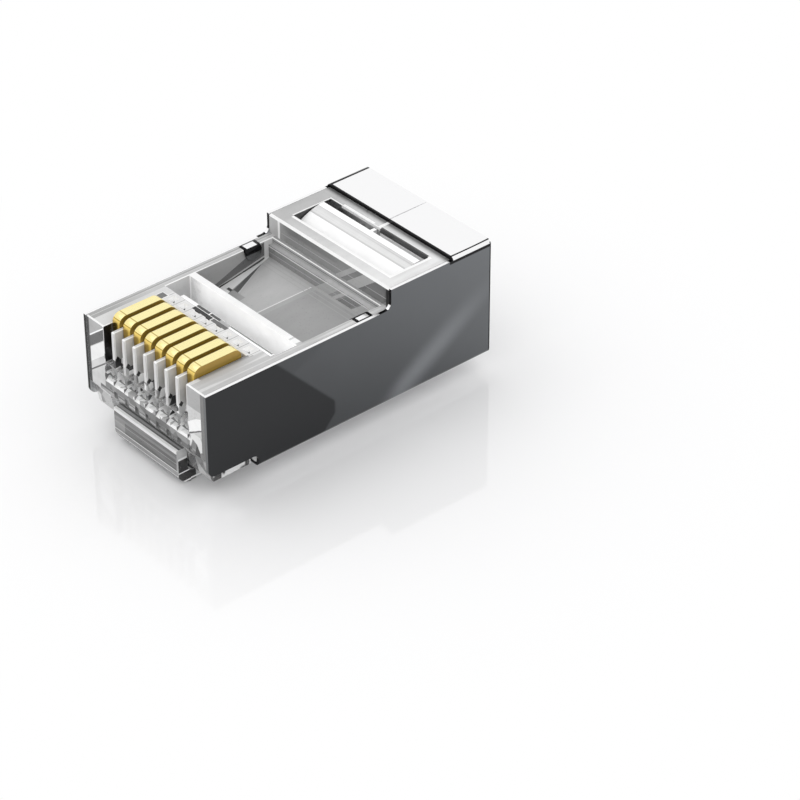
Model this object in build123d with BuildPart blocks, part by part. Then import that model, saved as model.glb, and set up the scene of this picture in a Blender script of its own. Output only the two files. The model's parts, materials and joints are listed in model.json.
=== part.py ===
"""Shielded RJ45 modular plug, lying on its latch with the contacts up.

+X is to the right seen from the nose, +Y runs back towards the cable, +Z is up.
The floor is at the underside of the latch. Sizes are in millimetres.

Places inside the plug are given as a distance behind the nose (back) and a
height over the underside of the shield (up), so the planes below start there.
"""
from build123d import *

from math import atan2, degrees
import os

# Whole plug.
plug_width = 11.68        # over the shield's side plates
plug_length = 22.03       # nose to the rear edge of the collar
rail_height = 6.65        # side rails and comb, the part that enters the jack
block_height = 8.00       # raised rear block
step_back = 14.05         # front face of the raised block
fit = 0.02                # seat between the housing and the sheet
past = 1.0                # how far a cut runs on past the face it opens
lap = 0.1                 # how far two joined cuts run into each other

# Shield: one folded sheet.
sheet = 0.21
bend_radius = 0.33        # outside of every bend
collar_length = 3.15
seam_width = 0.06         # between the two collar flaps
nose_notch_height = 0.90  # open lower edge of each side plate at the nose
nose_notch_length = 3.73
notch_radius = 0.40
plate_corner_radius = 0.50
step_radius = 0.50
tab_back = 11.60          # hook tab, front edge
tab_width = 1.20
tab_reach = 0.78          # side plate's middle to the tongue's middle
tab_drop = 0.85           # tongue below the rail's top
tab_bend = 0.20

# Housing walls.
nose_set = 0.06           # nose face behind the front edge of the side plates
rail_width = 0.55
nose_bevel = 0.08
rim = 0.05                # bevel of the moulded rims
block_bevel = 0.14        # front edge of the raised block
housing_length = 19.60
wall = 1.00               # roof over the cable space
floor_wall = 0.65         # least floor under the funnel

# Contacts and their comb.
contact_count = 8
contact_pitch = 1.02
contact_thickness = 0.68
contact_length = 3.50
contact_back = 0.70       # nose to the contact's front end
contact_top = 7.28        # before crimping
contact_height = 3.28
contact_head = 1.38       # depth of the long upper part
contact_end_radius = 0.55
contact_shoulder = 0.35   # shank in from each end of the head
crimp_travel = 1.10
slide_clearance = 0.03    # each side of the shank
comb_slot = 0.78          # wide upper slot
comb_back = 4.50          # rear end of the slots
comb_floor_gap = 0.10     # slot floor under a crimped contact's head
comb_mouth_up = 4.10      # lower end of the slots in the nose face
comb_mouth_depth = 0.55
mouth_bevel = 0.05        # round each wire channel in the nose

# Wire channels and the funnel that leads to them.
channel_diameter = 0.90
channel_up = 3.55
funnel_front = 8.40
funnel_rear = 12.50
cable_space_width = 9.50
cable_space_floor = 1.05
ramp_rear = 16.00

# Wire clamp pocket and bar.
rib_row_back = 4.98       # row of small wells in front of the pocket
well_size = 0.50
well_depth = 0.55
well_bottom = 0.02         # the wells end in a blunt point
pocket_front = 5.54
pocket_rear = 7.35
blade_wall = 0.50         # cross wall between the pocket and the recess
wire_bar_top = 6.05
wire_bar_depth = 0.55
wire_bar_length = 0.98
wire_bar_side = 0.22      # bar beyond the outer channels
lobe_diameter = 0.92
lobe_drop = 0.85
lobe_length = 0.52

# Recess between the cross wall and the raised block.
recess_rear = 13.50
recess_front_up = 4.62
recess_rear_up = 5.38
recess_ledge = 0.32
recess_ledge_up = 6.25

# Window in the raised block, and the wedge bar in it.
window_front = 15.10
window_rear = 18.10
window_width = 9.10
bar_clearance = 0.05
cable_bar_length = 2.35
cable_bar_land = 0.30     # level strip along the wedge's rear edge
cable_bar_web = 0.12      # thickness at the hinge
cable_bar_bulge = 0.16    # of the wedge's curved top
cable_bar_heel = 0.95     # rear face of the wedge
post_width = 0.25         # break-off post at the middle of the rear face
post_length = 0.35
post_height = 0.40

# Chin under the comb.
chin_set = 0.30           # lower edges behind the nose face
lug_set = 0.55
chin_groove_up = 3.25     # opens the undersides of the channel mouths
chin_ledge_up = 3.00
chin_ledge_depth = 0.30
chin_break_up = 1.95
tooth_width = 0.62
tooth_depth = 0.22
tooth_up = 2.35
lug_gap = 0.45            # gap behind the lug in the shield's open lower edge
lug_gap_up = 0.82
lug_gap_depth = 0.60
lug_gap_round = 0.15

# Latch.
latch_width = 6.10
latch_drop = 1.10         # underside below the shield
latch_proud = 0.20        # root in front of the side plates
latch_top = 1.45
latch_wall = 0.80
latch_slope = 0.40        # fall of the root's top towards its rear
latch_round = 1.00
latch_arm = 0.75          # arm thickness at the root
latch_tip = 0.55          # and at the free end
shoulder_width = 6.00
shoulder_back = 5.40
arm_width = 3.20
arm_back = 13.60
hinge_back = 0.45
latch_clearance = 0.30    # round the latch, sideways and behind
shoulder_play = 0.10      # more than that beside the shoulders
arm_play = 0.05           # and beside the arm
bay_up = 1.20             # roof of the bay over the arm

# Worked out from the sizes above.
half = plug_width / 2
body_half = half - sheet - fit
inner_half = body_half - rail_width
seat = sheet + fit
collar_height = block_height + fit + sheet
nose_y = -(plug_length - latch_proud) / 2
channel_radius = channel_diameter / 2
channel_band = contact_pitch * contact_count
contact_bottom = contact_top - contact_height
shank_front = contact_back + contact_shoulder
shank_rear = contact_back + contact_length - contact_shoulder
head_floor = contact_top - contact_head
pierce_floor = contact_bottom - crimp_travel - slide_clearance
slot_floor = head_floor - crimp_travel - comb_floor_gap
pocket_floor = channel_up + channel_radius / 2
recess_front = pocket_rear + blade_wall
chin_up = latch_top + fit
funnel_floor = bay_up + floor_wall
well_taper = degrees(atan2((well_size - well_bottom) / 2, well_depth))


def lengthways(across=0.0):
    """Plane seen from +X: its x is the distance back and its y the height up."""
    return Plane(origin=(across, nose_y, latch_drop), x_dir=(0, 1, 0), z_dir=(1, 0, 0))


def level(up):
    """Plane seen from above: its x is across and its y the distance back."""
    return Plane(origin=(0, nose_y, latch_drop + up), x_dir=(1, 0, 0), z_dir=(0, 0, 1))


def facing(back):
    """Plane seen from the nose: its x is across, its y up, and it faces the nose."""
    return Plane(origin=(0, nose_y + back, latch_drop), x_dir=(1, 0, 0), z_dir=(0, -1, 0))


def channels(up=0.0):
    """One place for each contact and its wire channel, across the plug."""
    first = -contact_pitch * (contact_count - 1) / 2
    return Locations(*[(first + contact_pitch * i, up) for i in range(contact_count)])


os.makedirs("parts", exist_ok=True)

# One hook tab: the side plate's top edge, bent in over the rail and down.
with BuildPart() as hook_tab:
    plate_middle = half - sheet / 2
    tab_middle = rail_height - sheet / 2
    with BuildSketch(facing(tab_back + tab_width)):
        with BuildLine():
            FilletPolyline(
                (plate_middle, rail_height - 1.5 * tab_drop),
                (plate_middle, tab_middle),
                (plate_middle - tab_reach, tab_middle),
                (plate_middle - tab_reach, rail_height - tab_drop),
                radius=tab_bend,
            )
        trace(line_width=sheet)
    extrude(amount=tab_width)
    # The tongue ends in a half round.
    tongue_corners = edges().filter_by(Axis.X).group_by(Axis.X)[0]
    fillet(tongue_corners, tab_width * 0.45)

with BuildPart() as shield:
    # Trough: floor plate and two side plates.
    with BuildSketch(facing(plug_length)):
        Rectangle(plug_width, block_height, align=(Align.CENTER, Align.MIN))
        fillet(vertices().group_by(Axis.Y)[0], bend_radius)
        with Locations((0, sheet)):
            Rectangle(
                plug_width - 2 * sheet,
                block_height,
                align=(Align.CENTER, Align.MIN),
                mode=Mode.SUBTRACT,
            )
        fillet(vertices().group_by(Axis.Y)[1], bend_radius - sheet)
    extrude(amount=plug_length)
    # The side plates are low beside the comb and the recess.
    with BuildSketch(lengthways(-plug_width)):
        with Locations((step_back, rail_height)):
            Rectangle(2 * step_back, block_height, align=(Align.MAX, Align.MIN))
        fillet(vertices().group_by(Axis.X)[-1].sort_by(Axis.Y)[0], step_radius)
    extrude(amount=2 * plug_width, mode=Mode.SUBTRACT)
    # Open lower edge at the nose.
    with BuildSketch(lengthways(-plug_width)):
        with Locations((nose_notch_length, nose_notch_height)):
            Rectangle(
                nose_notch_length + past,
                nose_notch_height + past,
                align=(Align.MAX, Align.MAX),
            )
        fillet(vertices().group_by(Axis.X)[-1].sort_by(Axis.Y)[-1], notch_radius)
        with Locations((0, nose_notch_height)):
            Rectangle(past, past, align=(Align.MAX, Align.MIN))
        corner = vertices().sort_by_distance((0, nose_notch_height))[0]
        fillet(corner, plate_corner_radius)
    extrude(amount=2 * plug_width, mode=Mode.SUBTRACT)
    # Window for the latch, wide at the shoulders.
    with BuildSketch(level(-sheet)):
        with Locations((0, 0)):
            Rectangle(
                shoulder_width + 2 * (latch_clearance + shoulder_play),
                shoulder_back + 2 * latch_clearance,
                align=(Align.CENTER, Align.MIN),
            )
            Rectangle(
                arm_width + 2 * (latch_clearance + arm_play),
                arm_back + 2 * latch_clearance,
                align=(Align.CENTER, Align.MIN),
            )
        fillet(vertices().group_by(Axis.Y)[-1], latch_clearance)
    extrude(amount=3 * sheet, mode=Mode.SUBTRACT)
    # Collar: the side plates' rear ends folded over the top to meet in a seam.
    with BuildSketch(facing(plug_length)):
        with Locations((0, collar_height / 2)):
            RectangleRounded(plug_width, collar_height, bend_radius)
            RectangleRounded(
                plug_width - 2 * sheet,
                collar_height - 2 * sheet,
                bend_radius - sheet,
                mode=Mode.SUBTRACT,
            )
    extrude(amount=collar_length)
    with BuildSketch(level(block_height)):
        with Locations((0, plug_length)):
            Rectangle(seam_width, 2 * collar_length)
    extrude(amount=past, mode=Mode.SUBTRACT)
    add(hook_tab.part)
    add(mirror(hook_tab.part, about=Plane.YZ, mode=Mode.PRIVATE))
shield.part.label = "shield"
export_step(shield.part, "parts/shield.step")

with BuildPart() as plug_body:
    # Outside: nose, chin, rails and the raised block.
    with BuildSketch(lengthways(-body_half)):
        with BuildLine():
            Polyline(
                (nose_set, rail_height),
                (step_back, rail_height),
                (step_back, block_height),
                (housing_length, block_height),
                (housing_length, seat),
                (nose_notch_length - latch_clearance, seat),
                (nose_set + lug_set, seat),
                (nose_set + chin_set, chin_up),
                (nose_set, chin_break_up),
                close=True,
            )
        make_face()
        nose_top = vertices().group_by(Axis.Y)[-2].sort_by(Axis.X)[0]
        chamfer(nose_top, nose_bevel)
        block_front = vertices().group_by(Axis.Y)[-1].sort_by(Axis.X)[0]
        chamfer(block_front, block_bevel)
    extrude(amount=2 * body_half)
    # The lower edges clear the shield's bends.
    lower_edges = faces().sort_by(Axis.Z)[0].edges().filter_by(Axis.Y)
    chamfer(lower_edges, bend_radius - sheet)

    # Bay for the latch: wide at the shoulders, narrow along the arm.
    with BuildSketch(level(seat - past)):
        with Locations((0, -past)):
            Rectangle(
                shoulder_width + 2 * latch_clearance,
                shoulder_back + latch_clearance + past,
                align=(Align.CENTER, Align.MIN),
            )
    extrude(amount=chin_up - seat + past, mode=Mode.SUBTRACT)
    with BuildSketch(level(seat - past)):
        Rectangle(
            arm_width + 2 * latch_clearance,
            arm_back + latch_clearance,
            align=(Align.CENTER, Align.MIN),
        )
        fillet(vertices().group_by(Axis.Y)[-1], latch_clearance)
    extrude(amount=bay_up - seat + past, mode=Mode.SUBTRACT)

    # Cable space from the rear, with a ramp up over the latch bay.
    with BuildSketch(lengthways(-cable_space_width / 2)):
        with BuildLine():
            Polyline(
                (housing_length + past, cable_space_floor),
                (ramp_rear, cable_space_floor),
                (step_back, funnel_floor),
                (funnel_rear, funnel_floor),
                (funnel_rear, recess_rear_up - floor_wall),
                (recess_rear, recess_rear_up - floor_wall),
                (step_back + wall, block_height - wall),
                (housing_length + past, block_height - wall),
                close=True,
            )
        make_face()
    extrude(amount=cable_space_width, mode=Mode.SUBTRACT)
    # Funnel: from the cable space's full width to the band of channels.
    with BuildSketch(facing(funnel_rear)):
        with Locations((0, funnel_floor)):
            Rectangle(
                cable_space_width,
                recess_rear_up - floor_wall - funnel_floor,
                align=(Align.CENTER, Align.MIN),
            )
    with BuildSketch(facing(funnel_front)):
        with Locations((0, channel_up)):
            Rectangle(channel_band, channel_diameter)
    loft(mode=Mode.SUBTRACT)

    # Wire channels, bevelled where they open in the nose.
    with BuildSketch(facing(funnel_front + lap)):
        with channels(channel_up):
            Circle(channel_radius)
    extrude(amount=funnel_front + past, mode=Mode.SUBTRACT)
    with BuildSketch(facing(nose_set)):
        with channels(channel_up):
            Circle(channel_radius + mouth_bevel)
    extrude(amount=-mouth_bevel, taper=45, mode=Mode.SUBTRACT)

    # Comb: a wide slot round each contact's head, open to the top and the nose.
    with BuildSketch(level(slot_floor)):
        with channels(comb_back):
            Rectangle(comb_slot, comb_back + past, align=(Align.CENTER, Align.MAX))
    extrude(amount=rail_height, mode=Mode.SUBTRACT)
    with BuildSketch(level(rail_height)):
        with channels(comb_back + rim):
            Rectangle(comb_slot + 2 * rim, comb_back + past, align=(Align.CENTER, Align.MAX))
    extrude(amount=-rim, taper=45, mode=Mode.SUBTRACT)
    with BuildSketch(facing(nose_set + comb_mouth_depth)):
        with channels(comb_mouth_up):
            Rectangle(comb_slot, rail_height, align=(Align.CENTER, Align.MIN))
    extrude(amount=comb_mouth_depth + past, mode=Mode.SUBTRACT)
    # A narrow slot under it holds the shank, down through the wire channel.
    with BuildSketch(level(pierce_floor)):
        with channels((shank_front + shank_rear) / 2):
            Rectangle(
                contact_thickness + 2 * slide_clearance,
                shank_rear - shank_front + 2 * slide_clearance,
            )
    extrude(amount=slot_floor - pierce_floor + lap, mode=Mode.SUBTRACT)
    # Row of small wells behind the contacts.
    with BuildSketch(level(rail_height)):
        with channels(rib_row_back):
            Rectangle(well_size, well_size)
    extrude(amount=-well_depth, taper=well_taper, mode=Mode.SUBTRACT)

    # Chin: a groove under the channel mouths, with a shelf and a tooth under each.
    with BuildSketch(lengthways(-channel_band / 2)):
        with BuildLine():
            Polyline(
                (nose_set - past, chin_groove_up),
                (nose_set + chin_ledge_depth, chin_groove_up),
                (nose_set + chin_ledge_depth, chin_ledge_up),
                (nose_set, chin_ledge_up - chin_ledge_depth),
                (nose_set - past, chin_ledge_up - chin_ledge_depth),
                close=True,
            )
        make_face()
    extrude(amount=channel_band, mode=Mode.SUBTRACT)
    with BuildSketch(facing(nose_set + chin_ledge_depth)):
        with channels(chin_ledge_up):
            Rectangle(tooth_width, 2 * chin_ledge_depth, align=(Align.CENTER, Align.MAX))
    extrude(amount=chin_ledge_depth)
    with BuildSketch(facing(nose_set + tooth_depth)):
        with channels(tooth_up):
            with Locations((contact_pitch / 2, 0)):
                Rectangle(
                    contact_pitch - tooth_width,
                    tooth_up - chin_up,
                    align=(Align.CENTER, Align.MAX),
                )
    extrude(amount=past, mode=Mode.SUBTRACT)

    # Pocket of the wire clamp, open to the channels below.
    with BuildSketch(level(rail_height)):
        with Locations((0, pocket_front)):
            Rectangle(
                2 * inner_half,
                pocket_rear - pocket_front,
                align=(Align.CENTER, Align.MIN),
            )
    extrude(amount=-(rail_height - pocket_floor), mode=Mode.SUBTRACT)

    # Recess with a sloping floor, and the ledge along its rear wall.
    with BuildSketch(lengthways(-inner_half)):
        with BuildLine():
            Polyline(
                (recess_front, rail_height + past),
                (recess_front, recess_front_up),
                (recess_rear, recess_rear_up),
                (recess_rear, recess_ledge_up),
                (recess_rear + recess_ledge, recess_ledge_up),
                (recess_rear + recess_ledge, rail_height + past),
                close=True,
            )
        make_face()
    extrude(amount=2 * inner_half, mode=Mode.SUBTRACT)
    # Bevelled rims of the pocket and the recess.
    recess_end = recess_rear + recess_ledge
    with BuildSketch(level(rail_height)):
        with Locations((0, (pocket_front + pocket_rear) / 2)):
            Rectangle(2 * (inner_half + rim), pocket_rear - pocket_front + 2 * rim)
        with Locations((0, (recess_front + recess_end) / 2)):
            Rectangle(2 * (inner_half + rim), recess_end - recess_front + 2 * rim)
    extrude(amount=-rim, taper=45, mode=Mode.SUBTRACT)

    # Window of the cable clamp, with a bevelled rim.
    with BuildSketch(level(block_height)):
        with Locations((0, (window_front + window_rear) / 2)):
            Rectangle(window_width, window_rear - window_front)
    extrude(amount=-2 * wall, mode=Mode.SUBTRACT)
    with BuildSketch(level(block_height)):
        with Locations((0, (window_front + window_rear) / 2)):
            Rectangle(window_width + 2 * rim, window_rear - window_front + 2 * rim)
    extrude(amount=-rim, taper=45, mode=Mode.SUBTRACT)

    # On both sides: a notch in the rail for the shield's hook tab, and a gap
    # behind the lug that shows in the side plate's open lower edge.
    for side in (-1, 1):
        with BuildSketch(lengthways(side * body_half)):
            with Locations((tab_back + tab_width / 2, rail_height)):
                Rectangle(tab_width + 4 * fit, 2 * (sheet + 2 * fit))
        extrude(amount=-side * rail_width, mode=Mode.SUBTRACT)
        with BuildSketch(lengthways(side * body_half)):
            with Locations((nose_notch_length, lug_gap_up)):
                Rectangle(lug_gap, lug_gap_up + past, align=(Align.MAX, Align.MAX))
            fillet(vertices().group_by(Axis.Y)[-1], lug_gap_round)
        extrude(amount=-side * lug_gap_depth, mode=Mode.SUBTRACT)
plug_body.part.label = "plug_body"
export_step(plug_body.part, "parts/plug_body.step")

# Contacts: a long rounded head, and a shank with three points that pierce the wire.
first_across = -contact_pitch * (contact_count - 1) / 2
for number in range(contact_count):
    with BuildPart() as contact:
        across = first_across + contact_pitch * number
        middle = contact_back + contact_length / 2
        point = (shank_rear - shank_front) / 6
        with BuildSketch(lengthways(across)):
            with Locations((middle, contact_top)):
                Rectangle(
                    contact_length,
                    contact_head,
                    align=(Align.CENTER, Align.MAX),
                )
                fillet(vertices().group_by(Axis.Y)[-1], contact_end_radius)
            with BuildLine():
                Polyline(
                    (shank_front, head_floor + contact_head / 2),
                    (shank_front, contact_bottom + point),
                    (shank_front + point, contact_bottom),
                    (shank_front + 2 * point, contact_bottom + point),
                    (shank_front + 3 * point, contact_bottom),
                    (shank_front + 4 * point, contact_bottom + point),
                    (shank_front + 5 * point, contact_bottom),
                    (shank_rear, contact_bottom + point),
                    (shank_rear, head_floor + contact_head / 2),
                    close=True,
                )
            make_face()
        extrude(amount=contact_thickness / 2, both=True)
    contact.part.label = f"contact_{number + 1}"
    export_step(contact.part, f"parts/contact_{number + 1}.step")

# Latch: the root wall under the nose turns back into the shoulders and the arm.
with BuildPart() as latch_tab:
    with BuildSketch(lengthways()):
        with BuildLine():
            Polyline(
                (-latch_proud, latch_top),
                (-latch_proud, -latch_drop),
                (arm_back, -latch_drop),
                (arm_back, latch_tip - latch_drop),
                (latch_wall - latch_proud, latch_arm - latch_drop),
                (latch_wall - latch_proud, latch_top - latch_slope),
                (hinge_back, latch_top),
                close=True,
            )
        make_face()
        fillet(vertices().sort_by_distance((-latch_proud, -latch_drop))[0], latch_round)
        inside_corner = (latch_wall - latch_proud, latch_arm - latch_drop)
        fillet(vertices().sort_by_distance(inside_corner)[0], latch_wall / 2)
        fillet(vertices().group_by(Axis.X)[-1], latch_tip * 0.4)
    extrude(amount=latch_width / 2, both=True)
    # Plan outline: shoulders that catch in the jack, then the narrow arm.
    with BuildSketch(level(-latch_drop)):
        with Locations((0, -latch_proud)):
            Rectangle(latch_width, latch_proud + latch_wall, align=(Align.CENTER, Align.MIN))
            Rectangle(shoulder_width, latch_proud + shoulder_back, align=(Align.CENTER, Align.MIN))
            Rectangle(arm_width, latch_proud + arm_back, align=(Align.CENTER, Align.MIN))
    extrude(amount=latch_drop + latch_top, mode=Mode.INTERSECT)
latch_tab.part.label = "latch_tab"
export_step(latch_tab.part, "parts/latch_tab.step")

# Wire clamp: a bar with one rounded lobe over each wire.
with BuildPart() as wire_clamp_bar:
    bar_front = pocket_front + bar_clearance
    bar_half = channel_band / 2 + wire_bar_side
    with BuildSketch(lengthways(-bar_half)):
        with Locations((bar_front, wire_bar_top)):
            Rectangle(wire_bar_length, wire_bar_depth, align=(Align.MIN, Align.MAX))
        chamfer(vertices().group_by(Axis.X)[-1].sort_by(Axis.Y)[-1], wire_bar_depth / 2)
    extrude(amount=2 * bar_half)
    lobe_up = wire_bar_top - wire_bar_depth - lobe_drop + lobe_diameter / 2
    with BuildSketch(facing(bar_front + wire_bar_length)):
        with channels(lobe_up):
            Circle(lobe_diameter / 2)
            Rectangle(
                lobe_diameter,
                wire_bar_top - wire_bar_depth / 2 - lobe_up,
                align=(Align.CENTER, Align.MIN),
            )
    extrude(amount=lobe_length)
wire_clamp_bar.part.label = "wire_clamp_bar"
export_step(wire_clamp_bar.part, "parts/wire_clamp_bar.step")

# Cable clamp: a wedge that hangs at its front edge in the window.
with BuildPart() as cable_clamp_bar:
    wedge_front = window_front + bar_clearance
    wedge_rear = wedge_front + cable_bar_length
    wedge_half = window_width / 2 - bar_clearance
    with BuildSketch(lengthways(-wedge_half)):
        with BuildLine():
            web = Vector(wedge_front, block_height - wall + cable_bar_web)
            land = Vector(wedge_rear - cable_bar_land, block_height)
            swell = (web + land) / 2 + Vector(0, cable_bar_bulge)
            ThreePointArc(web, swell, land)
            Polyline(
                land,
                (wedge_rear, block_height),
                (wedge_rear, block_height - cable_bar_heel),
                (wedge_front, block_height - wall),
                web,
            )
        make_face()
    extrude(amount=2 * wedge_half)
    with BuildSketch(facing(wedge_rear + post_length)):
        with Locations((0, block_height)):
            Rectangle(post_width, post_height, align=(Align.CENTER, Align.MAX))
    extrude(amount=post_length)
cable_clamp_bar.part.label = "cable_clamp_bar"
export_step(cable_clamp_bar.part, "parts/cable_clamp_bar.step")
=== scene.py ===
"""Shielded modular plug: edges, finishes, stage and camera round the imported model."""

import json
import math

import bpy
from bpy.props import FloatProperty, FloatVectorProperty, PointerProperty
from mathutils import Matrix, Vector

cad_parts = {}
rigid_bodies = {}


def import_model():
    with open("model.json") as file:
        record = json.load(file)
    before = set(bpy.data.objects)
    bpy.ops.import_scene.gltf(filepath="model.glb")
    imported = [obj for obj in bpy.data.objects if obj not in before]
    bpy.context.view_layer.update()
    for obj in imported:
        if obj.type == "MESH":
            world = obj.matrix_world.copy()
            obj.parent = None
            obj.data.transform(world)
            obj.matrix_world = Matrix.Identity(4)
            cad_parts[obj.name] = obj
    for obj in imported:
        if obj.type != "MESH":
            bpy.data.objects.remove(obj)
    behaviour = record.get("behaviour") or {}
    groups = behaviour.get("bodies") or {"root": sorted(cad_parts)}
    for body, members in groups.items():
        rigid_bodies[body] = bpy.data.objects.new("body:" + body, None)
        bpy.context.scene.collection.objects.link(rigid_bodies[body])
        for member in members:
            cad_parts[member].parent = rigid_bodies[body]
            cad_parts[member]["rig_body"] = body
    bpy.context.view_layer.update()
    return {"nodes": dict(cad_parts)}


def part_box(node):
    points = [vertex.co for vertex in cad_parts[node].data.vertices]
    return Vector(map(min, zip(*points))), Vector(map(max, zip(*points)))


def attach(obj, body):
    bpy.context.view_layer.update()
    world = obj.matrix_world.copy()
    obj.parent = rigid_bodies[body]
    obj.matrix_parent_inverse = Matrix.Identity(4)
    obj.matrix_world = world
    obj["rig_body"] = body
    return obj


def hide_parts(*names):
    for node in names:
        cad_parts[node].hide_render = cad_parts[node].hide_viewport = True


bl_info = {
    "name": "Shielded modular plug",
    "version": (1, 0, 0),
    "blender": (4, 5, 0),
    "location": "3D View > Sidebar > Plug",
    "description": "Dresses a shielded modular plug with clear plastic, sheet metal and gold",
    "category": "Object",
}

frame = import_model()
SHEET_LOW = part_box("shield")[0]
NOSE = SHEET_LOW.y          # front edge of the side plates
FLOOR_PLATE = SHEET_LOW.z   # underside of the shield
CONTACT_COUNT = 8
PITCH = 1.02                # of the contacts, in millimetres
CONTACTS = [f"contact_{number + 1}" for number in range(CONTACT_COUNT)]
MM = 1000                   # millimetres in a metre

# Regions of the housing, in millimetres: across from the middle, back from the
# nose, and up from the underside of the shield.
RAIL_TOP = (6.58, 6.70)
ROOF_TOP = (7.9, 8.1)
COMB = ((-4.02, 4.02), (-0.1, 4.62), (4.1, 6.7))
WELLS = ((-4.2, 4.2), (4.55, 5.45), (6.05, 6.70))
CHIN = ((-4.1, 4.1), (-0.1, 0.5), (1.4, 3.3))
TUBES = ((-4.1, 4.1), (0.16, 5.0), (3.06, 4.05))
LIP = ((-4.6, 4.6), (-0.1, 0.4), (1.40, 2.30))
CHIN_ENDS = (None, (-0.1, 1.4), (0.2, 1.95))
LUGS = (None, (0.3, 3.9), (0.1, 1.0))
POCKET = ((-5.2, 5.2), (5.50, 7.38), (3.5, 6.63))
POCKET_EDGE = (None, (5.20, 5.68), (6.45, 6.7))
RECESS = ((-5.1, 5.1), (7.8, 13.9), (4.3, 6.63))
RECESS_REAR = ((-5.1, 5.1), (13.84, 14.1), RAIL_TOP)
BLOCK_FACE = ((-5.7, 5.7), (14.0, 14.1), (6.6, 7.9))
BLOCK_CORNER = ((5.36, 5.70), (14.0, 14.3), (6.6, 7.9))
WINDOW = (None, (15.0, 18.2), (6.0, 7.94))
WINDOW_SLOT = ((0.18, 4.50), (18.05, 18.24), (7.75, 8.1))

# Places on the shield, measured in the same way.
COLLAR_FRONT = 18.7
COLLAR_LOW = 7.80
COLLAR_FOLD = -5.43         # where the left fold of the collar begins
REAR_EDGE = 21.94
SIDE_OUTSIDE = 5.79         # faces further out than this are outside faces
STEP_BACK = (13.0, 14.2)
STEP_UP = (6.5, 7.9)
HOOK_BACK = (11.55, 12.85)
HOOK_UP = 5.4
TONGUE_TOP = 6.28
HOOK_HIGHLIGHT_BACK = (11.80, 12.60)
HOOK_HIGHLIGHT_LEFT = (-5.52, -5.06)
HOOK_HIGHLIGHT_RIGHT = (5.17, 5.52)

# How a surface faces, from 0 on edge to 1 square on.
SQUARE = 0.9
LEVEL = (0.94, 0.98)
SLOPING = (0.25, 0.40)

# Colours and optics.
BLACK = (0, 0, 0)
WHITE = (1, 1, 1)
# The brightest tint of the painted reflection on the right side plate.
SIDE_BRIGHT = (0.95, 0.99, 1.04)
FLOOR_SPECK = (0.90, 0.90, 0.91)
CLEAR_IOR = 1.46
FLOOR_IOR = 1.55

# Rounding of the edges.
SHEET_ROUNDING = 0.7        # of the edge radius
BEVEL_SEGMENTS = 2
WELD = 1e-7                 # metres
FLAT = math.radians(0.3)    # faces this close to one plane are joined
SHARP = math.radians(30)    # edges at least this sharp are rounded
SMOOTH = math.radians(35)   # and flatter ones than this are shaded smooth

BUMP_DEPTH = 0.00001        # metres

# Stage, in metres but for the fade to white. The camera is fitted to the width
# of the plug in the photo.
FLOOR_SIZE = 1.2
FADE_MIDDLE = (2.5, 1.5)    # millimetres
FLOOR_FADE = (11.0, 33.0)   # millimetres from that middle
AIM = (0, 0, 0.004)         # what the lamps face
# Each lamp: name, place, size and power in watts.
LAMPS = (
    ("key", (-0.16, -0.12, 0.34), 0.22, 0.10),
    ("fill", (0.28, -0.30, 0.20), 0.25, 0.04),
)
CAMERA_TURNS = (49.07, 34.85, -0.13)    # round, up and roll, in degrees
CAMERA_PLACE = (0.12758, -0.101765, 0.11307)
CAMERA_FOCAL = 145.45       # millimetres, and so is the sensor's width
CAMERA_SENSOR = 36.0
CAMERA_CLIP = (0.01, 5.0)


# Shader maths.


class Value:
    """A number that varies over a surface. Arithmetic on it adds Math nodes."""

    def __init__(self, graph, socket):
        self.graph = graph
        self.socket = socket

    def math(self, operation, *others, clamp=False):
        """A Math node of this value and the others."""
        settings = {"operation": operation, "use_clamp": clamp}
        return self.graph.add("ShaderNodeMath", settings, dict(enumerate((self, *others))))

    def __add__(self, other):
        return self.math("ADD", other)

    __radd__ = __add__

    def __sub__(self, other):
        return self.math("SUBTRACT", other)

    def __rsub__(self, other):
        return (self * -1) + other

    def __mul__(self, other):
        return self.math("MULTIPLY", other)

    __rmul__ = __mul__

    def __truediv__(self, other):
        return self.math("DIVIDE", other)

    def __pow__(self, other):
        return self.math("POWER", other)

    def at_most(self, other):
        return self.math("MINIMUM", other)

    def size(self):
        return self.math("ABSOLUTE")

    def clamped(self):
        return self.math("ADD", 0.0, clamp=True)

    def rises(self, low, high):
        """0 below low, 1 above high, smooth between; with high < low it falls."""
        settings = {"interpolation_type": "SMOOTHSTEP"}
        flip = high < low
        ends = (high, low) if flip else (low, high)
        inputs = {"Value": self, "From Min": ends[0], "From Max": ends[1]}
        found = self.graph.add("ShaderNodeMapRange", settings, inputs)
        return 1 - found if flip else found

    def between(self, low, high, soft):
        """1 from low to high, with soft edges."""
        return self.rises(low - soft, low + soft) * self.rises(high + soft, high - soft)

    def within(self, low, high):
        """1 from low to high, and 0 elsewhere."""
        return self.math("COMPARE", (low + high) / 2, (high - low) / 2)

    def above(self, low):
        return self.math("GREATER_THAN", low)

    def below(self, high):
        return self.math("LESS_THAN", high)


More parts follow.
